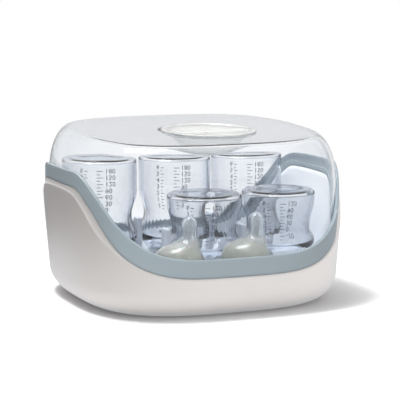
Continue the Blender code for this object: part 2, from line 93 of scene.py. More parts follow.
SHELL_WHITE = (0.830, 0.800, 0.785)
# the dusk colour is the darker end of the cloudy tone, and also the painted shade low down, by the table
SHELL_DUSK = (0.70, 0.68, 0.67)


def smooth_step(value):
    """Eases from 0 to 1: 3v^2 - 2v^3, flat at both ends."""
    value = np.clip(value, 0.0, 1.0)
    return value * value * (3.0 - 2.0 * value)


turn = np.linspace(0.0, 2.0 * math.pi, RING_POINTS, endpoint=False)
across, along = np.abs(np.cos(turn)), np.abs(np.sin(turn))
reach = (across ** PLAN_POWER + along ** PLAN_POWER) ** (-1.0 / PLAN_POWER)
unit_x = reach * np.cos(turn)
unit_y = reach * np.sin(turn)
swing = np.degrees(np.arctan2(across ** (PLAN_POWER / 2), along ** (PLAN_POWER / 2)))
rim_top = RIM_LOW + (RIM_HIGH - RIM_LOW) * smooth_step((swing / RIM_SPREAD).clip(0.0, 1.0) ** RIM_POWER)


def slope_round(height):
    """Rise over run of a height that varies round the body outline, by central differences."""
    x, y = unit_x * LENGTH / 2, unit_y * DEPTH / 2
    run = np.hypot(np.roll(x, -1) - np.roll(x, 1), np.roll(y, -1) - np.roll(y, 1))
    return (np.roll(height, -1) - np.roll(height, 1)) / run


steep = np.sqrt(1.0 + slope_round(rim_top) ** 2)
growth = smooth_step((swing - LEDGE_START) / (LEDGE_FULL - LEDGE_START))
ease = smooth_step((swing - LEDGE_EASE) / (90.0 - LEDGE_EASE))
step_in = STEP_SMALL + (STEP_LARGE - STEP_SMALL) * growth - (STEP_LARGE - STEP_END) * ease
narrowing = smooth_step((swing - LEDGE_START) / (90.0 - LEDGE_START))
band_foot = rim_top - (BAND_WIDTH - (BAND_WIDTH - BAND_END) * narrowing) * steep
lip = band_foot - LEDGE_SMALL - (LEDGE_LARGE - LEDGE_SMALL) * growth + (LEDGE_LARGE - LEDGE_END) * ease
shell_mouth = step_in + BAND_WALL


def ring(inset, height):
    """One ring of the body: the outline (|x|/a)^3 + (|y|/b)^3 = 1, leaning in below the lip, moved in by inset."""
    height = np.broadcast_to(np.asarray(height, float), turn.shape)
    lean = np.maximum(LIP_HEIGHT - height, 0.0)
    x = unit_x * (LENGTH / 2 - TAPER_X * lean - inset)
    y = unit_y * (DEPTH / 2 - TAPER_Y * lean - inset)
    return np.stack([x, y, height], axis=1)


def rounded_bottom(depth, steps):
    """Rings of the bottom's quarter round, for a skin that lies depth inside the outer face, upwards."""
    arc = np.linspace(0.0, math.pi / 2, steps)
    radius = BOTTOM_ROUND - depth
    return [ring(BOTTOM_ROUND - radius * math.sin(a), BOTTOM_ROUND - radius * math.cos(a)) for a in arc]


def flat_floor(first, steps):
    """Rings that close a bottom: the first ring drawn in to its middle in even shares."""
    middle = first * np.array([0.0, 0.0, 1.0])
    return [middle + (first - middle) * share for share in np.linspace(0.002, 1.0, steps, endpoint=False)]


def wall_rings(depth, top_inset, top_height, steps):
    """Rings from the rounded bottom to a rim: the inset eases to the rim's over the top quarter."""
    rings = []
    for share in np.linspace(0.0, 1.0, steps + 1)[1:]:
        ease = smooth_step((share - 1.0 + MOUTH_EASE) / MOUTH_EASE)
        rings.append(ring(depth + (top_inset - depth) * ease, BOTTOM_ROUND + (top_height - BOTTOM_ROUND) * share))
    return rings


def grid_mesh(name, rings, caps=(False, False), join_ends=False):
    """Surface through equal rings: row r, column c is rings[r][c]. Columns wrap, so do rows with join_ends."""
    points = np.asarray(rings, float)
    rows, columns = points.shape[:2]
    index = np.arange(rows * columns).reshape(rows, columns)
    low, high = (index, np.roll(index, -1, axis=0)) if join_ends else (index[:-1], index[1:])
    quads = np.stack([low, np.roll(low, -1, axis=1), np.roll(high, -1, axis=1), high], axis=-1).reshape(-1, 4)
    faces = quads.tolist()
    if caps[0]:
        faces.append(index[0][::-1].tolist())
    if caps[1]:
        faces.append(index[-1].tolist())
    mesh = bpy.data.meshes.new(name)
    mesh.from_pydata(points.reshape(-1, 3).tolist(), [], faces)
    mesh.shade_smooth()
    return mesh


def place(name, mesh, body, finish, nodes=()):
    """Links a finished mesh as a piece that rides on a body and stands for the CAD nodes named."""
    piece = bpy.data.objects.new(name, mesh)
    bpy.context.scene.collection.objects.link(piece)
    mesh.materials.append(finish)
    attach(piece, body)
    if nodes:
        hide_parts(*nodes)


class Wire:
    """A shader socket that takes part in Python arithmetic: each operator adds the Math node for it."""

    def __init__(self, paint, socket):
        self.paint, self.socket = paint, socket

    def _math(self, operation, first, second):
        return self.paint.node("Math", {"operation": operation}, {0: first, 1: second})

    def __add__(self, other):
        return self._math("ADD", self, other)

    def __radd__(self, other):
        return self._math("ADD", other, self)

    def __sub__(self, other):
        return self._math("SUBTRACT", self, other)

    def __rsub__(self, other):
        return self._math("SUBTRACT", other, self)

    def __mul__(self, other):
        return self._math("MULTIPLY", self, other)

    def __rmul__(self, other):
        return self._math("MULTIPLY", other, self)

    def __pow__(self, other):
        return self._math("POWER", self, other)


class Paint:
    """The shading of a new material or world. node() adds any node from its type, settings and sockets' values."""

    def __init__(self, owner):
        self.owner = owner
        self.owner.use_nodes = True
        self.tree = self.owner.node_tree
        self.tree.nodes.clear()

    def node(self, kind, settings=None, sockets=None, out=0):
        made = self.tree.nodes.new("ShaderNode" + kind)
        for key, value in (settings or {}).items():
            setattr(made, key, value)
        for key, value in (sockets or {}).items():
            if isinstance(value, Wire):
                self.tree.links.new(value.socket, made.inputs[key])
            else:
                made.inputs[key].default_value = value
        return Wire(self, made.outputs[out]) if made.outputs else None

    def split(self, vector):
        """The three parts of a vector as wires."""
        first = self.node("SeparateXYZ", None, {0: vector})
        return [Wire(self, output) for output in first.socket.node.outputs]

    def between(self, value, low, high):
        """Eases from 0 at low to 1 at high."""
        settings = {"interpolation_type": "SMOOTHSTEP"}
        return self.node("MapRange", settings, {"Value": value, "From Min": low, "From Max": high})

    def noise(self, place_at, scale, detail):
        """A cloudy value round a half, its lumps about 1 / scale metres wide."""
        return self.node("TexNoise", None, {"Vector": place_at, "Scale": scale, "Detail": detail})

    def blend(self, factor, first, second):
        """Colour mix from the first to the second: sockets 6 and 7 are the Mix node's two colours."""
        return self.node("Mix", {"data_type": "RGBA"}, {0: factor, 6: first, 7: second}, out=2)

    def mixed(self, factor, first, second):
        """Shader mix from the first to the second."""
        return self.node("MixShader", None, {0: factor, 1: first, 2: second})

    def lamps_pass(self, shader, tint):
        """The shader, with lamp light let straight through it in a tint, so that its shadow stays clear."""
        passing = self.node("BsdfTransparent", None, {"Color": colour(*tint)})
        return self.mixed(self.node("LightPath", out="Is Shadow Ray"), shader, passing)

    def finish(self, shader, output="OutputMaterial"):
        """Joins the shader to its output, and hands back the material or world."""
        self.node(output, None, {"Surface": shader})
        return self.owner


def colour(red, green, blue):
    """An opaque colour for a socket."""
    return (red, green, blue, 1.0)


def moulded_plastic(name, base, dusk, roughness, grain, grain_size, coat):
    """Moulded plastic: faint cloudy tone, a fine spark-eroded grain in bump, and painted shade that makes it darker
    low down, by the table.
    """
    paint = Paint(bpy.data.materials.new(name))
    place_at = paint.node("TexCoord", out="Object")
    height = paint.split(place_at)[2]
    cloud = paint.noise(place_at, 9.0, 3.0)
    fine = paint.noise(place_at, grain_size, 2.0)
    # painted shade: within 12 mm of the table the tone blends towards the dusk colour
    painted_shade_low = 1.0 - paint.between(height, 0.0, 0.012)
    tone = paint.blend(cloud * 0.25 + painted_shade_low * 0.35, colour(*base), colour(*dusk))
    bump = paint.node("Bump", None, {"Height": fine, "Strength": grain, "Distance": 0.0002})
    shader = paint.node("BsdfPrincipled", None, {
        "Base Color": tone, "Roughness": roughness + 0.06 * (cloud - 0.5), "Normal": bump,
        "Coat Weight": coat, "Coat Roughness": 0.12, "IOR": 1.49})
    return paint.finish(shader)


rim = band_foot - FIT_GAP
shell_rings = flat_floor(ring(BOTTOM_ROUND, 0.0), 6) + rounded_bottom(0.0, 14)
shell_rings += wall_rings(0.0, 0.0, lip - LIP_ROUND, 21)
shell_rings += [ring(0.24 * LIP_DRAW, lip - EDGE_ROUND), ring(LIP_DRAW, lip)]
# the ledge: a cove that draws in from the lip to the foot of the band, by 1 - (1 - s)^1.7 of its depth
for share in (0.25, 0.5, 0.75, 0.92):
    cove = 1.0 - (1.0 - share) ** COVE_POWER
    shell_rings.append(ring(LIP_DRAW + (step_in - LIP_DRAW) * cove, lip + (rim - lip) * share))
shell_rings += [ring(step_in, rim), ring(step_in + EDGE_ROUND, rim + EDGE_CROWN), ring(shell_mouth, rim)]
shell_rings += wall_rings(SHELL_WALL, shell_mouth, rim, 15)[-2::-1]
inner_bottom = rounded_bottom(SHELL_WALL, 10)
shell_rings += inner_bottom[::-1] + flat_floor(inner_bottom[0], 6)[::-1]
shell_plastic = moulded_plastic("shell_plastic", SHELL_WHITE, SHELL_DUSK, roughness=0.34,
                                grain=0.12, grain_size=1400.0, coat=0.25)
place("shell_tub", grid_mesh("shell_tub", shell_rings, (True, True)), "base", shell_plastic,
      ["outer_shell"])


# ------------------------------------------------------------------------------------------------ inner basin
# The water basin nests in the shell and is moulded in the same white plastic, a little cooler in tone.
# Its wall ends level with the shell's rim, and the rack stands on its flat floor.
BASIN_WALL = 0.0026
NEST_GAP = 0.0014
LID_SIDE_GAP = 0.00035
LID_WALL = 0.0022
SEAT_MARGIN = 0.0006
BASIN_WHITE = (0.800, 0.810, 0.825)
# the dusk colour is the darker end of the cloudy tone, and also the painted shade on the low floor
BASIN_DUSK = (0.72, 0.74, 0.76)

basin_skin = SHELL_WALL + NEST_GAP
basin_face = basin_skin + BASIN_WALL
lid_outside = step_in + BAND_WALL + LID_SIDE_GAP
lid_inside = lid_outside + LID_WALL
basin_mouth = lid_inside + SEAT_MARGIN

outer_bottom = rounded_bottom(basin_skin, 8)
basin_rings = flat_floor(outer_bottom[0], 5) + outer_bottom
basin_rings += wall_rings(basin_skin, shell_mouth + NEST_GAP / 2, rim - EDGE_ROUND, 16)
basin_rings += [ring(shell_mouth + NEST_GAP / 2 + EDGE_ROUND, rim), ring(basin_mouth - EDGE_ROUND, rim)]
basin_rings += wall_rings(basin_face, basin_mouth, rim - EDGE_ROUND, 18)[::-1]
inner_bottom = rounded_bottom(basin_face, 12)
basin_rings += inner_bottom[::-1] + flat_floor(inner_bottom[0], 6)[::-1]
basin_plastic = moulded_plastic("basin_plastic", BASIN_WHITE, BASIN_DUSK, roughness=0.36,
                                grain=0.10, grain_size=1500.0, coat=0.2)
place("water_basin", grid_mesh("water_basin", basin_rings, (True, True)), "base", basin_plastic,
      ["inner_basin"])


# ------------------------------------------------------------------------------------------------ rim band
# A blue-grey band follows the wave of the rim and caps the shell and the basin. Its outer face is fine and
# matt with a softly rounded top edge, and a shelf inside it carries the foot of the lid.
BAND_EDGE = 0.0008
INNER_EDGE = 0.0005
SEAT_EDGE = 0.0002
LID_SEAT_DROP = 0.0090
BAND_GREY = (0.262, 0.312, 0.342)
BAND_DUSK = (0.280, 0.335, 0.365)

seat = rim_top - LID_SEAT_DROP * steep
lid_face = step_in + BAND_WALL
face_foot, face_top = band_foot + EDGE_ROUND, rim_top - BAND_EDGE
band_rings = [ring(step_in + EDGE_ROUND, band_foot)]
for share in np.linspace(0.0, 1.0, 8):
    band_rings.append(ring(step_in, face_foot + (face_top - face_foot) * share))
for a in (0.4, 0.8, 1.2, math.pi / 2):
    band_rings.append(ring(step_in + BAND_EDGE * (1 - math.cos(a)), face_top + BAND_EDGE * math.sin(a)))
for draw, drop in ((1.0, 0.0), (0.3, 0.3), (0.0, 1.0)):
    band_rings.append(ring(lid_face - draw * INNER_EDGE, rim_top - drop * INNER_EDGE))
for share in (0.35, 0.7, 1.0):
    band_rings.append(ring(lid_face, rim_top - INNER_EDGE + (seat + SEAT_EDGE - rim_top + INNER_EDGE) * share))
band_rings += [ring(lid_face + SEAT_EDGE, seat), ring(basin_mouth - SEAT_EDGE, seat)]
for share in np.linspace(0.0, 1.0, 5):
    band_rings.append(ring(basin_mouth, seat - SEAT_EDGE + (band_foot + SEAT_EDGE - seat) * share))
band_plastic = moulded_plastic("band_plastic", BAND_GREY, BAND_DUSK, roughness=0.42,
                               grain=0.2, grain_size=1800.0, coat=0.12)
place("wavy_band", grid_mesh("wavy_band", band_rings, join_ends=True), "base", band_plastic,
      ["rim_band"])


# ------------------------------------------------------------------------------------------------ bottle rack
# The rack is one moulding in white plastic: a slotted deck on short feet, a collar for each bottle's neck,
# uprights between the bottles and a seat for each teat. It lifts out of the basin with its load.
RACK_WHITE = (0.60, 0.64, 0.70)
# the dusk colour is the darker end of the cloudy tone, and also the painted shade on the low feet
RACK_DUSK = (0.52, 0.56, 0.62)

rack_plastic = moulded_plastic("rack_plastic", RACK_WHITE, RACK_DUSK, roughness=0.30,
                               grain=0.10, grain_size=1500.0, coat=0.3)
for name, node in frame["nodes"].items():
    if name.startswith(("bottle_rack", "collar_", "upright_", "foot_", "teat_seat_")):
        node.data.materials.clear()
        node.data.materials.append(rack_plastic)


# ------------------------------------------------------------------------------------------------ bottles
# Five feeding bottles stand neck down on the rack, blown in clear plastic with a dimpled base, a waist and
# ribs to grip on the flanks. The base is up, and the threaded neck stands in the collar of the rack.
BOTTLE_RADIUS = 0.0353
BOTTLE_GAP = 0.0064
ROW_MIDDLE = 0.0055
WAIST_DEPTH = 0.0053
NECK_STEP = 0.0103
BEAD_REACH = 0.0018
BOTTLE_WALL = 0.0016
TALL_HEIGHT = 0.1156
SHORT_HEIGHT = 0.0866
TALL_WAIST = 0.0585
SHORT_WAIST = 0.0500
TALL_REACH = 0.0240
SHORT_REACH = 0.0290
SHOULDER = 0.0385
SHOULDER_DROP = 0.0145
NECK_DROP = 0.0190
BASE_ROUND = 0.0032
BASE_THICK = 0.0024
DIMPLE_DEPTH = 0.0030
DIMPLE_SHARE = 0.60
MOUTH_ROUND = 0.0004
DECK_TOP = 0.0147
BOTTLE_COLUMNS = 128
RIB_DEPTH = 0.0007
RIB_COUNT = 44
RIB_SLANT = 60.0  # radians of the ribs' wave per metre of level
RIBS_ABOVE_WAIST = 0.012
THREAD_DEPTH = 0.000385
THREAD_PITCH = 0.0040
BOTTLE_TINT = (0.962, 0.972, 0.986)
BOTTLE_EDGE = (0.13, 0.20, 0.36)


def clear_plastic(name, tint, edge_tint, edge_power, roughness, ior, haze):
    """Clear moulded plastic: see-through with a cooler tone where it is seen edge on, lamps pass through it."""
    paint = Paint(bpy.data.materials.new(name))
    swirl = paint.noise(paint.node("TexCoord", out="Object"), 26.0, 2.0)
    edge = paint.node("LayerWeight", None, {"Blend": 0.5}, out="Facing")
    tone = paint.blend(edge ** edge_power, colour(*tint), colour(*edge_tint))
    bump = paint.node("Bump", None, {"Height": swirl, "Strength": haze, "Distance": 0.0006})
    clear = paint.node("BsdfPrincipled", None, {
        "Base Color": tone, "Roughness": roughness, "IOR": ior, "Transmission Weight": 1.0, "Normal": bump})
    return paint.finish(paint.lamps_pass(clear, tint))


def body_radius(level, waist, reach):
    """Bottle body: full radius less a raised-cosine waist that reaches up the flank and down to the shoulder."""
    away = np.asarray(level, float) - waist
    share = np.abs(away) / np.where(away > 0, reach, waist - SHOULDER)
    return BOTTLE_RADIUS - WAIST_DEPTH * (0.5 + 0.5 * np.cos(math.pi * np.minimum(share, 1.0)))


def strip(radius, level):
    """Profile points from radii and levels, either of which may be one number for all of them."""
    return np.stack(np.broadcast_arrays(radius, level), axis=-1)


def bottle_profile(height, waist, reach):
    """Outer and inner (radius, level) of a bottle from its base to its mouth, in metres above the mouth.

    With s from 0 to 1, the base is a dimple that sinks by d (1 - 0.65 s^3), and the shoulder draws in to the
    neck's bead by s^2 (1.6 - 0.6 s). A quarter round joins the base to the flank, which is body_radius."""
    neck = BOTTLE_RADIUS - NECK_STEP
    bead = neck + BEAD_REACH
    bore = neck - BOTTLE_WALL
    inside = BOTTLE_RADIUS - BOTTLE_WALL
    top = height - BASE_ROUND
    arc = np.linspace(0.0, math.pi / 2, 8)
    out = np.linspace(0.02, 1.0, 12)
    dimple = DIMPLE_DEPTH * (1.0 - 0.65 * out ** 3)
    flank = np.linspace(top, SHOULDER, 46)[1:]
    fall = np.linspace(0.0, 1.0, 10)[1:]
    outer = [
        strip(BOTTLE_RADIUS * DIMPLE_SHARE * out, height - dimple),
        strip(BOTTLE_RADIUS * np.array([0.66, 0.72, 0.77]), height - np.array([0.22 * DIMPLE_DEPTH, 0.0002, 0.0])),
        strip(BOTTLE_RADIUS - BASE_ROUND * (1 - np.sin(arc)), height - BASE_ROUND * (1 - np.cos(arc))),
        strip(body_radius(flank, waist, reach), flank),
        strip(BOTTLE_RADIUS - (BOTTLE_RADIUS - bead) * fall * fall * (1.6 - 0.6 * fall),
              SHOULDER - SHOULDER_DROP * fall),
        strip([bead, bead - 0.0006, neck], SHOULDER - NECK_DROP + np.array([0.0018, 0.0008, 0.0])),
        strip(neck, np.linspace(SHOULDER - NECK_DROP - 0.0010, MOUTH_ROUND, 26)),
        strip([neck - MOUTH_ROUND, bore + 0.0003], 0.0),
    ]
    fall = np.array([0.92, 0.75, 0.5, 0.25, 0.08])
    flank = np.linspace(SHOULDER, top - 0.0015, 40)
    inner = [
        strip(bore, [MOUTH_ROUND, SHOULDER - 0.0150]),
        strip(inside - (BOTTLE_RADIUS - neck) * fall, SHOULDER - 0.0130 * fall),
        strip(body_radius(flank, waist, reach) - BOTTLE_WALL, flank),
        strip(inside - BASE_ROUND * (1 - np.cos(arc[1:])), flank[-1] + 0.8 * BASE_ROUND * np.sin(arc[1:])),
        strip(BOTTLE_RADIUS * DIMPLE_SHARE * out, height - BASE_THICK - dimple)[::-1],
    ]
    return np.concatenate(outer), np.concatenate(inner)


def bottle_points(height, waist, reach, x, y):
    """The profile turned round x, y. On the outer face the grip's ribs are a fan of |sin| waves that slant on the
    two flanks, and the thread on the neck is a helix of squared half waves."""
    outer, inner = bottle_profile(height, waist, reach)
    spin = np.linspace(0.0, 2.0 * math.pi, BOTTLE_COLUMNS, endpoint=False)
    level = outer[:, 1][:, None]
    flank = smooth_step((np.abs(np.cos(spin)) - 0.35) / 0.35)[None, :]
    gripped = smooth_step((level - SHOULDER + 0.004) / 0.010)
    gripped = gripped * smooth_step((waist + RIBS_ABOVE_WAIST - level) / 0.012)
    fan = spin[None, :] * RIB_COUNT + np.sign(np.cos(spin))[None, :] * (level - waist) * RIB_SLANT
    ribs = RIB_DEPTH * flank * gripped * (np.abs(np.sin(fan / 2)) - 0.6)
    threaded = smooth_step((level - 0.0025) / 0.002) * smooth_step((SHOULDER - 0.0215 - level) / 0.002)
    wave = np.maximum(np.cos(2 * math.pi * level / THREAD_PITCH + spin[None, :]), 0.0) ** 2
    outer_radius = outer[:, 0][:, None] + ribs + threaded * (THREAD_DEPTH * wave - 0.0003)
    inner_radius = np.broadcast_to(inner[:, 0][:, None], (len(inner), BOTTLE_COLUMNS))
    radius = np.concatenate([outer_radius, inner_radius])
    levels = np.concatenate([outer[:, 1], inner[:, 1]])[:, None] + DECK_TOP + FIT_GAP
    points = [x + radius * np.cos(spin), y + radius * np.sin(spin), np.broadcast_to(levels, radius.shape)]
    return np.stack(points, axis=-1)[::-1]


bottle_plastic = clear_plastic("bottle_plastic", BOTTLE_TINT, BOTTLE_EDGE, edge_power=2.1,
                               roughness=0.02, ior=1.40, haze=0.60)
pitch = 2 * BOTTLE_RADIUS + BOTTLE_GAP
back_row = ROW_MIDDLE + pitch / 2
front_row = ROW_MIDDLE - pitch / 2
tall, short = (TALL_HEIGHT, TALL_WAIST, TALL_REACH), (SHORT_HEIGHT, SHORT_WAIST, SHORT_REACH)
bottles = {
    "bottle_back_left": (*tall, -pitch, back_row),
    "bottle_back_middle": (*tall, 0.0, back_row),
    "bottle_back_right": (*tall, pitch, back_row),
    "bottle_front_middle": (*short, 0.0, front_row),
    "bottle_front_right": (*short, pitch, front_row),
}
for name, shape in bottles.items():
    mesh = grid_mesh(name + "_clear", bottle_points(*shape), (True, True))
    place(name + "_clear", mesh, name, bottle_plastic, [name])


# ------------------------------------------------------------------------------------------------ bottle scales
# Each bottle carries a plain measuring scale in dark blue print: two columns of strokes with their numbers,
# upside down here as the bottle is. The ink is a film a tenth of a millimetre off the outer face.
INK_BLUE = (0.020, 0.030, 0.085)
INK_LIFT = 0.00012
INK_WORN = (0.12, 0.15, 0.24)
SCALE_TOP = 0.0100
SCALE_FOOT = 0.0040
SCALE_STEP = 0.0062
MOST_STROKES = 14
STROKE_WIDTH = 0.00055
LONG_STROKE = 0.0052
SHORT_STROKE = 0.0030
NUMBER_HEIGHT = 0.0047
CAPITAL_SHARE = 0.72
NUMBER_SHIFT = 0.0068
SECOND_SCALE = -0.0130
SECOND_NUMBER = -0.0175
SCALE_BEARING = -112.0  # degrees round the bottle from +X
TALL_VOLUME = 180
SHORT_VOLUME = 120
STROKE_VOLUME = 15

paint = Paint(bpy.data.materials.new("scale_ink"))
speckle = paint.noise(paint.node("TexCoord", out="Object"), 900.0, 2.0)
worn = paint.blend(paint.between(speckle, 0.62, 0.70), colour(*INK_BLUE), colour(*INK_WORN))
scale_ink = paint.finish(paint.node("BsdfPrincipled", None, {"Base Color": worn, "Roughness": 0.45}))


def flat_stroke(length, count=6):
    """A thin flat rectangle in the plane, cut along its length so that it can bend round a bottle."""
    points = np.array([(u, v * STROKE_WIDTH / 2) for v in (-1, 1) for u in np.linspace(0.0, length, count)])
    faces = [(i, i + 1, count + i + 1, count + i) for i in range(count - 1)]
    return points, faces


def flat_number(text):
    """A plain number as a flat mesh in the plane, its lower left corner at the origin."""
    curve = bpy.data.curves.new("number", "FONT")
    curve.body = text
    curve.size = NUMBER_HEIGHT / CAPITAL_SHARE
    curve.resolution_u = 3
    item = bpy.data.objects.new("number", curve)
    bpy.context.scene.collection.objects.link(item)
    bpy.context.view_layer.update()
    mesh = bpy.data.meshes.new_from_object(item.evaluated_get(bpy.context.evaluated_depsgraph_get()))
    points = np.array([vertex.co[:2] for vertex in mesh.vertices]).reshape(-1, 2)
    faces = [tuple(polygon.vertices) for polygon in mesh.polygons]
    bpy.data.objects.remove(item)
    return points, faces


def scale_pieces(height):
    """Flat meshes of a scale, each with its shift round the bottle and its level: volumes, with counts beside."""
    volume = TALL_VOLUME if height == TALL_HEIGHT else SHORT_VOLUME
    highest = height - SCALE_TOP
    pieces = []
    for step in range(MOST_STROKES):
        level = highest - step * SCALE_STEP / 2
        if level < SHOULDER + SCALE_FOOT:
            break
        length = SHORT_STROKE if step % 2 else LONG_STROKE
        pieces.append((flat_stroke(length), 0.0, level))
        pieces.append((flat_stroke(length * 0.6), SECOND_SCALE, level))
        if step % 2 == 0:
            middle = level + NUMBER_HEIGHT / 2
            pieces.append((flat_number(str(volume - STROKE_VOLUME * step)), NUMBER_SHIFT, middle))
            pieces.append((flat_number(str(max(6 - step // 2, 1))), SECOND_NUMBER, middle))
    return pieces


def scale_mesh(name, height, waist, reach, x, y):
    """Strokes and numbers laid on the bottle: plane u runs round it, v runs from its base to its mouth."""
    points, faces, total = [], [], 0
    for (flat, cells), shift, level in scale_pieces(height):
        round_it = math.radians(SCALE_BEARING) + (shift + flat[:, 0]) / BOTTLE_RADIUS
        up = level - flat[:, 1]
        radius = body_radius(up, waist, reach) + INK_LIFT
        points.append(np.stack([x + radius * np.cos(round_it), y + radius * np.sin(round_it),
                                up + DECK_TOP + FIT_GAP], axis=1))
        faces += [tuple(index + total for index in cell) for cell in cells]
        total += len(flat)
    mesh = bpy.data.meshes.new(name)
    mesh.from_pydata(np.concatenate(points).tolist(), [], faces)
    return mesh


for name, shape in bottles.items():
    place(name + "_scale", scale_mesh(name + "_scale", *shape), name, scale_ink)


# ------------------------------------------------------------------------------------------------ teats
# Two teats moulded in soft translucent silicone, cream in the thick dome and clearer in the thin nipple,
# which stands to one side. Each rests on its flange on a seat of the rack.
TEAT_FRONT_GAP = 0.0115
TEAT_LEFT_X = -0.048
TEAT_RIGHT_X = 0.018
TEAT_SEAT = 0.0400
TEAT_HEIGHT = 0.0498
TEAT_RADIUS = 0.0240
TEAT_WALL = 0.0018
NIPPLE_RADIUS = 0.0074
NIPPLE_LEAN = 0.0100
NIPPLE_FOOT = 0.0200
NIPPLE_CLEAR = 0.0320
TEAT_COLUMNS = 72
CREAM_DARK = (0.580, 0.585, 0.530)
CREAM_LIGHT = (0.680, 0.685, 0.630)
NIPPLE_TINT = (0.93, 0.97, 1.00)
NIPPLE_EDGE = (0.36, 0.46, 0.60)
TEAT_SHADOW = (0.75, 0.76, 0.74)

paint = Paint(bpy.data.materials.new("silicone"))
place_at = paint.node("TexCoord", out="Object")
height = paint.split(place_at)[2]
thin = paint.between(height, TEAT_SEAT + NIPPLE_FOOT, TEAT_SEAT + NIPPLE_CLEAR)
cloud = paint.noise(place_at, 60.0, 3.0)
cream = paint.blend(cloud, colour(*CREAM_DARK), colour(*CREAM_LIGHT))
bump = paint.node("Bump", None, {"Height": cloud, "Strength": 0.08, "Distance": 0.0008})
dome = paint.node("BsdfPrincipled", None, {
    "Base Color": cream, "Roughness": 0.12 + 0.06 * cloud, "Transmission Weight": 0.72, "IOR": 1.41,
    "Subsurface Weight": 0.25, "Subsurface Scale": 0.004, "Coat Weight": 0.5, "Normal": bump})
edge = paint.node("LayerWeight", None, {"Blend": 0.5}, out="Facing")
pale = paint.blend(edge ** 2.0, colour(*NIPPLE_TINT), colour(*NIPPLE_EDGE))
nipple = paint.node("BsdfPrincipled", None, {
    "Base Color": pale, "Roughness": 0.05, "Transmission Weight": 0.90, "IOR": 1.41, "Coat Weight": 0.3,
    "Normal": bump})
silicone = paint.finish(paint.lamps_pass(paint.mixed(thin, dome, nipple), TEAT_SHADOW))


def teat_rings(x, y):
    """Dome and nipple: circles whose radius follows the profile and whose middle eases aside with height.

    shape gives shares of the height and of the foot's radius; between them it runs straight, then softened."""
    tip = 1.0 - NIPPLE_RADIUS / TEAT_HEIGHT
    shape = np.array([(0.0, 1.0), (0.080, 1.0), (0.095, 0.990), (0.200, 0.965), (0.320, 0.875), (0.420, 0.725),
                      (0.480, 0.585), (0.530, 0.430), (0.570, 0.350), (0.620, 0.318), (0.680, 0.290),
                      (0.740, 0.278), (0.800, 0.292), (tip, 0.306)])
    level = np.concatenate([np.linspace(0.0, 0.08, 4), np.linspace(0.09, tip, 30)])
    radius = TEAT_RADIUS * np.interp(level, shape[:, 0], shape[:, 1])
    soft = np.convolve(np.pad(radius, 2, mode="edge"), np.array([1, 2, 3, 2, 1]) / 9.0, mode="valid")
    soft[:4] = radius[:4]
    arc = np.linspace(0.0, math.pi / 2, 9)[1:-1]
    level = np.concatenate([level, tip + (1.0 - tip) * np.sin(arc), [1.0]])
    outer = np.concatenate([soft, soft[-1] * np.cos(arc), [0.0003]])
    inner = np.maximum(outer - TEAT_WALL, 0.0002)
    inner_level = level * (1.0 - TEAT_WALL / TEAT_HEIGHT)
    radius = np.concatenate([inner[::-1], outer])
    level = np.concatenate([inner_level[::-1], level])
    spin = np.linspace(0.0, 2.0 * math.pi, TEAT_COLUMNS, endpoint=False)
    middle = x + NIPPLE_LEAN * smooth_step((level - 0.36) / 0.24)
    foot = TEAT_SEAT + FIT_GAP
    return np.stack([middle[:, None] + radius[:, None] * np.cos(spin), y + radius[:, None] * np.sin(spin),
                     np.broadcast_to((foot + TEAT_HEIGHT * level)[:, None], (len(level), TEAT_COLUMNS))], axis=-1)


teat_row = TEAT_FRONT_GAP + TEAT_RADIUS - DEPTH / 2
for name, x in (("teat_left", TEAT_LEFT_X), ("teat_right", TEAT_RIGHT_X)):
    mesh = grid_mesh(name + "_silicone", teat_rings(x, teat_row), (True, True))
    place(name + "_silicone", mesh, name, silicone, [name])


# ------------------------------------------------------------------------------------------------ lid
# The cover is one deep clear moulding: a skirt cut to the wave of the rim, a tall soft round and a flat top
# that rises towards the back, with a round opening for the grip. Its foot drops inside the band.
LID_TOP = 0.1591
LID_TILT = 0.045
LID_ROUND = 0.0500
LID_ROUND_IN = 0.0215
ROUND_POWER = 2.35
HANDLE_X = 0.0105
HANDLE_Y = -0.0180
OPENING_RADIUS = 0.0421
LID_TINT = (0.952, 0.965, 0.980)
LID_EDGE = (0.50, 0.53, 0.57)


def lid_top(y, drop):
    """Height of the flat top at y, a drop below its outer face."""
    return LID_TOP + LID_TILT * y - drop


def lid_skin(inset, foot, drop):
    """One face from foot to opening: an upright skirt, a quarter round (1 - r^p)^(1/p) of its reach, the top."""
    plan = ring(inset + LID_ROUND_IN - drop, LIP_HEIGHT)
    top = lid_top(plan[:, 1], drop)
    rings = []
    for share in np.sin(np.linspace(0.0, math.pi / 2, 52)):
        height = foot + (top - foot) * share
        rise = np.clip((height - top + LID_ROUND - drop) / (LID_ROUND - drop), 0.0, 1.0)
        curve = (1.0 - rise ** ROUND_POWER) ** (1.0 / ROUND_POWER)
        rings.append(ring(inset + (LID_ROUND_IN - drop) * (1.0 - curve), height))
    edge = rings[-1]
    bearing = np.arctan2(edge[:, 1] - HANDLE_Y, edge[:, 0] - HANDLE_X)
    mouth_x = HANDLE_X + OPENING_RADIUS * np.cos(bearing)
    mouth_y = HANDLE_Y + OPENING_RADIUS * np.sin(bearing)
    mouth = np.stack([mouth_x, mouth_y, lid_top(mouth_y, drop)], axis=1)
    return rings + [(1 - share) * edge + share * mouth for share in np.linspace(0.0, 1.0, 14)[1:]]


lid_foot = seat + FIT_GAP
lid_plastic = clear_plastic("lid_plastic", LID_TINT, LID_EDGE, edge_power=3.2,
                            roughness=0.03, ior=1.34, haze=0.05)
lid_rings = lid_skin(lid_outside, lid_foot, 0.0) + lid_skin(lid_inside, lid_foot, LID_WALL)[::-1]
place("clear_cover", grid_mesh("clear_cover", lid_rings, join_ends=True), "lid", lid_plastic, ["lid"])


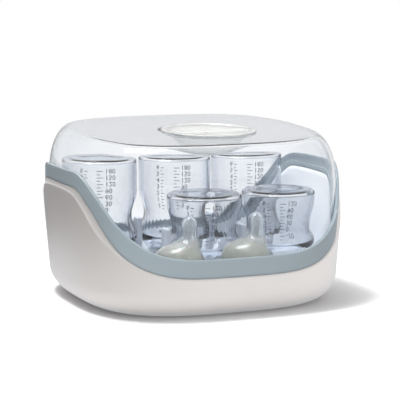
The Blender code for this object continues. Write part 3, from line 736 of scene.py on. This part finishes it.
# ------------------------------------------------------------------------------------------------ lid grip
# The grip is a milky cup sunk in the lid's opening, with a thin flange round it and a flat bar across,
# moulded in one piece. Fingers reach into the cup on both sides of the bar.
FLANGE_REACH = 0.0030
FLANGE_THICK = 0.0016
CUP_GAP = 0.0005
CUP_DEPTH = 0.0215
CUP_WALL = 0.0020
GRIP_WIDTH = 0.0150
GRIP_THICK = 0.0055
GRIP_DROP = 0.0012
GRIP_WAIST = 0.12
GRIP_BITE = 0.0006
GRIP_COLUMNS = 40
CUP_COLUMNS = 120
MILK_WHITE = (0.930, 0.930, 0.915)
MILK_EDGE = (0.80, 0.81, 0.81)
MILK_SHADOW = (0.80, 0.82, 0.84)

paint = Paint(bpy.data.materials.new("milky_plastic"))
cloud = paint.noise(paint.node("TexCoord", out="Object"), 30.0, 2.0)
edge = paint.node("LayerWeight", None, {"Blend": 0.5}, out="Facing")
tone = paint.blend(edge ** 2.0, colour(*MILK_WHITE), colour(*MILK_EDGE))
bump = paint.node("Bump", None, {"Height": cloud, "Strength": 0.05, "Distance": 0.0006})
milk = paint.node("BsdfPrincipled", None, {
    "Base Color": tone, "Roughness": 0.16 + 0.06 * cloud, "IOR": 1.42, "Transmission Weight": 0.50,
    "Coat Weight": 0.5, "Normal": bump})
milky_plastic = paint.finish(paint.lamps_pass(milk, MILK_SHADOW))

grip_seat = FIT_GAP
grip_top = grip_seat + FLANGE_THICK
lean = math.atan(LID_TILT)


def on_top(points):
    """Points of the grip, drawn about its own middle, turned with the lid's sloping top and set in its place."""
    x, y, z = np.moveaxis(np.asarray(points, float), -1, 0)
    return np.stack([HANDLE_X + x, HANDLE_Y + y * math.cos(lean) - z * math.sin(lean),
                     lid_top(HANDLE_Y, 0.0) + y * math.sin(lean) + z * math.cos(lean)], axis=-1)


def bowl(radius, rim_radius, depth):
    """Depth of the rounded cup below its rim: deepest in the middle, d (1 - (r/R)^2.6)."""
    return depth * (1.0 - (radius / rim_radius) ** 2.6)


cup_outer = OPENING_RADIUS - CUP_GAP
cup_inner = cup_outer - CUP_WALL
flange = OPENING_RADIUS + FLANGE_REACH
shares = (1.0 - (1.0 - np.linspace(0.01, 1.0, 26)) ** 1.4)[:-1]
under = CUP_DEPTH + CUP_WALL - FLANGE_THICK
profile = np.concatenate([
    strip(cup_inner * shares, grip_top - bowl(cup_inner * shares, cup_inner, CUP_DEPTH)),
    strip([cup_inner + 0.0001, cup_inner + 0.0005], [grip_top - 0.0004, grip_top]),
    strip([flange - 0.0006, flange - 0.0002, flange], [grip_top, grip_top - 0.0003, grip_top - 0.0008]),
    strip([flange, flange - 0.0003, cup_outer], [grip_seat + 0.0002, grip_seat, grip_seat]),
    strip(cup_outer * shares, grip_seat - bowl(cup_outer * shares, cup_outer, under))[::-1],
])
spin = np.linspace(0.0, 2.0 * math.pi, CUP_COLUMNS, endpoint=False)
cup_rings = np.stack([profile[:, :1] * np.cos(spin), profile[:, :1] * np.sin(spin),
                      np.broadcast_to(profile[:, 1:], (len(profile), CUP_COLUMNS))], axis=-1)
place("grip_cup", grid_mesh("grip_cup", on_top(cup_rings[::-1]), (True, True)), "lid", milky_plastic,
      ["lid_handle"])

# the bar: a rounded rectangle section (superellipse of power 4) carried along X into the cup's wall
section = np.linspace(0.0, 2.0 * math.pi, GRIP_COLUMNS, endpoint=False)
bar_y = GRIP_WIDTH / 2 * np.sign(np.cos(section)) * np.abs(np.cos(section)) ** 0.5
bar_z = GRIP_THICK / 2 * np.sign(np.sin(section)) * np.abs(np.sin(section)) ** 0.5
bar_level = grip_top - GRIP_DROP - GRIP_THICK / 2
bar_rings = []
for x in np.linspace(-cup_inner - GRIP_BITE, cup_inner + GRIP_BITE, 24):
    waist = 1.0 - GRIP_WAIST * (1.0 - (x / cup_inner) ** 2)
    bar_rings.append(np.stack([np.full(GRIP_COLUMNS, x), bar_y * waist, bar_level + bar_z], axis=1))
place("grip_bar", grid_mesh("grip_bar", on_top(bar_rings), (True, True)), "lid", milky_plastic)


# ------------------------------------------------------------------------------------------------ studio
# A white table that fades into a white room, under a soft lamp overhead and a weak one at the front right. Two
# more lamps light only the table and only the inside. The camera looks down a little from the front left.
FLOOR_HALF = 6.0
TABLE_GREY = (0.700, 0.700, 0.705)
TABLE_GLOW = 0.05
FADE_START = 0.24
FADE_END = 0.60
BOUNCE_RIGHT = (0.64, 0.63, 0.62)
BOUNCE_LEFT = (0.08, 0.08, 0.08)
BOUNCE_GLOW = 0.10
MIRROR_BLUE = (0.68, 0.72, 0.78)
MIRROR_DARK = (0.080, 0.085, 0.090)
MIRROR_BRIGHT = 0.8
AMBIENT_LEFT = (0.01, 0.01, 0.01)
AMBIENT_RIGHT = (0.500, 0.495, 0.490)
CEILING = (0.80, 0.80, 0.80)
WALL_FRONT = (0.64, 0.70, 0.79)
WALL_BACK = (0.760, 0.755, 0.765)
SOFT_BOX = 1.3
CAMERA_AZIMUTH = -22.0
CAMERA_ELEVATION = 8.75
CAMERA_DISTANCE = 1.613
CAMERA_TARGET = Vector((0.0, 0.0, 0.070))
FOCAL_PIXELS = 1677.0
FRAME_PIXELS = 400.0
SENSOR = 36.0
MIDDLE_X = 190.8
MIDDLE_Y = 221.0
WHITE = colour(1.0, 1.0, 1.0)
BLACK = colour(0.0, 0.0, 0.0)

floor_mesh = bpy.data.meshes.new("floor")
corners = [(FLOOR_HALF * x, FLOOR_HALF * y, 0.0) for x, y in ((-1, -1), (1, -1), (1, 1), (-1, 1))]
floor_mesh.from_pydata(corners, [], [(0, 1, 2, 3)])
floor = bpy.data.objects.new("floor", floor_mesh)
bpy.context.scene.collection.objects.link(floor)


def by_ray(paint, lit, mirrored, seen):
    """A shader that differs by ray: seen by the camera and through clear pieces, mirrored in gloss, else lit."""
    glossy = paint.mixed(paint.node("LightPath", out="Is Glossy Ray"), lit, mirrored)
    looked_at = paint.node("LightPath", out="Is Camera Ray") + paint.node("LightPath", out="Is Transmission Ray")
    return paint.mixed(looked_at, glossy, seen)


# the table seen: grey-white round the object, then white; the light it sends up weakens towards the left
paint = Paint(bpy.data.materials.new("white_table"))
x, y, _ = paint.split(paint.node("TexCoord", out="Object"))
away = (x * x + y * y) ** 0.5
bearing = paint.node("Math", {"operation": "ARCTAN2"}, {0: y, 1: x})
table = {"Base Color": colour(*TABLE_GREY), "Roughness": 0.9, "Specular IOR Level": 0.0}
leftward = paint.between(-1.0 * x, 0.16, 0.34)
lit = paint.node("BsdfPrincipled", None, {
    **table, "Base Color": paint.blend(leftward, colour(*BOUNCE_RIGHT), colour(*BOUNCE_LEFT)),
    "Emission Color": paint.blend(leftward, WHITE, BLACK), "Emission Strength": BOUNCE_GLOW})
near = paint.node("BsdfPrincipled", None, {**table, "Emission Color": WHITE, "Emission Strength": TABLE_GLOW})
far = paint.node("Emission", None, {"Color": WHITE, "Strength": 1.0})
seen = paint.mixed(paint.between(away, FADE_START, FADE_END), near, far)

# the table mirrored: blue-grey, dark at the back left, with one bright sector towards the front right
gloom = paint.between(away, 0.20, 0.50) * paint.between(bearing, 1.45, 1.90)
low_tone = paint.blend(gloom, colour(*MIRROR_BLUE), colour(*MIRROR_DARK))
dusk = paint.node("Emission", None, {"Color": low_tone, "Strength": 1.0})
bright = paint.node("Emission", None, {"Color": WHITE, "Strength": MIRROR_BRIGHT})
sector = paint.between(bearing, -1.30, -0.95) * (1.0 - paint.between(bearing, -0.75, -0.45))
mirrored = paint.mixed(sector * paint.between(away, 0.25, 0.40), dusk, bright)
floor_mesh.materials.append(paint.finish(by_ray(paint, lit, mirrored, seen)))

# the room: white where it is seen, a soft box overhead in the gloss, and dimmer light from the left
sky = Paint(bpy.data.worlds.new("studio"))
right, back, up = sky.split(sky.node("TexCoord", out="Generated"))
ambient = sky.blend(sky.between(right, -0.75, 0.25), colour(*AMBIENT_LEFT), colour(*AMBIENT_RIGHT))
ceiling = sky.blend(sky.between(up, 0.35, 0.75), ambient, colour(*CEILING))
lit = sky.node("Background", None, {"Color": ceiling, "Strength": 1.0})
low_sky = sky.blend(sky.between(back, -0.2, 0.4), colour(*WALL_FRONT), colour(*WALL_BACK))
overhead = sky.between(up, 0.48, 0.72)
walls = sky.node("Background", None, {"Color": sky.blend(overhead, low_sky, WHITE), "Strength": 1.0})
soft_box = sky.node("Background", None, {"Color": WHITE, "Strength": SOFT_BOX})
white = sky.node("Background", None, {"Color": WHITE, "Strength": 1.0})
shown = by_ray(sky, lit, sky.mixed(overhead, walls, soft_box), white)
bpy.context.scene.world = sky.finish(shown, "OutputWorld")


def soft_lamp(name, at, towards, size, watts, lights=()):
    """A soft box: an area lamp turned towards a point, unseen by the camera. It lights all, or only some items."""
    lamp = bpy.data.lights.new(name, "AREA")
    lamp.shape = "RECTANGLE"
    lamp.size, lamp.size_y = size
    lamp.energy = watts
    item = bpy.data.objects.new(name, lamp)
    bpy.context.scene.collection.objects.link(item)
    item.location = at
    item.rotation_euler = (Vector(towards) - Vector(at)).to_track_quat("-Z", "Y").to_euler()
    item.visible_camera = False
    if lights:
        only = bpy.data.collections.new("lit_by_" + name)
        for lit_item in lights:
            only.objects.link(lit_item)
        item.light_linking.receiver_collection = only


inside = [item for item in bpy.context.scene.collection.all_objects
          if item.name.startswith(("water_basin", "wavy_band", "bottle_rack", "collar_", "foot_", "teat_seat_"))]
soft_lamp("overhead", (-0.28, 0.25, 1.7), (0.0, 0.0, 0.0), size=(0.8, 0.8), watts=17.0)
soft_lamp("front_right", (1.0, -2.0, 1.0), (0.0, 0.0, 0.06), size=(1.6, 1.2), watts=5.0)
soft_lamp("table_lamp", (-0.36, 0.28, 1.75), (0.0, 0.0, 0.0), size=(0.4, 0.35), watts=28.0, lights=[floor])
soft_lamp("inside_lamp", (-1.0, -0.8, 1.3), (0.05, 0.0, 0.06), size=(0.6, 0.6), watts=24.0, lights=inside)

azimuth, elevation = math.radians(CAMERA_AZIMUTH), math.radians(CAMERA_ELEVATION)
offset = Vector((math.sin(azimuth) * math.cos(elevation), -math.cos(azimuth) * math.cos(elevation),
                 math.sin(elevation)))
camera = bpy.data.cameras.new("camera")
camera.sensor_width = SENSOR
camera.lens = FOCAL_PIXELS / FRAME_PIXELS * SENSOR
camera.shift_x = (FRAME_PIXELS / 2 - MIDDLE_X) / FRAME_PIXELS
camera.shift_y = (MIDDLE_Y - FRAME_PIXELS / 2) / FRAME_PIXELS
camera.clip_start, camera.clip_end = 0.05, 60.0
camera_item = bpy.data.objects.new("camera", camera)
bpy.context.scene.collection.objects.link(camera_item)
camera_item.location = CAMERA_TARGET + offset * CAMERA_DISTANCE
camera_item.rotation_euler = (-offset).to_track_quat("-Z", "Y").to_euler()
bpy.context.scene.camera = camera_item
bpy.context.scene.view_settings.view_transform = "Standard"
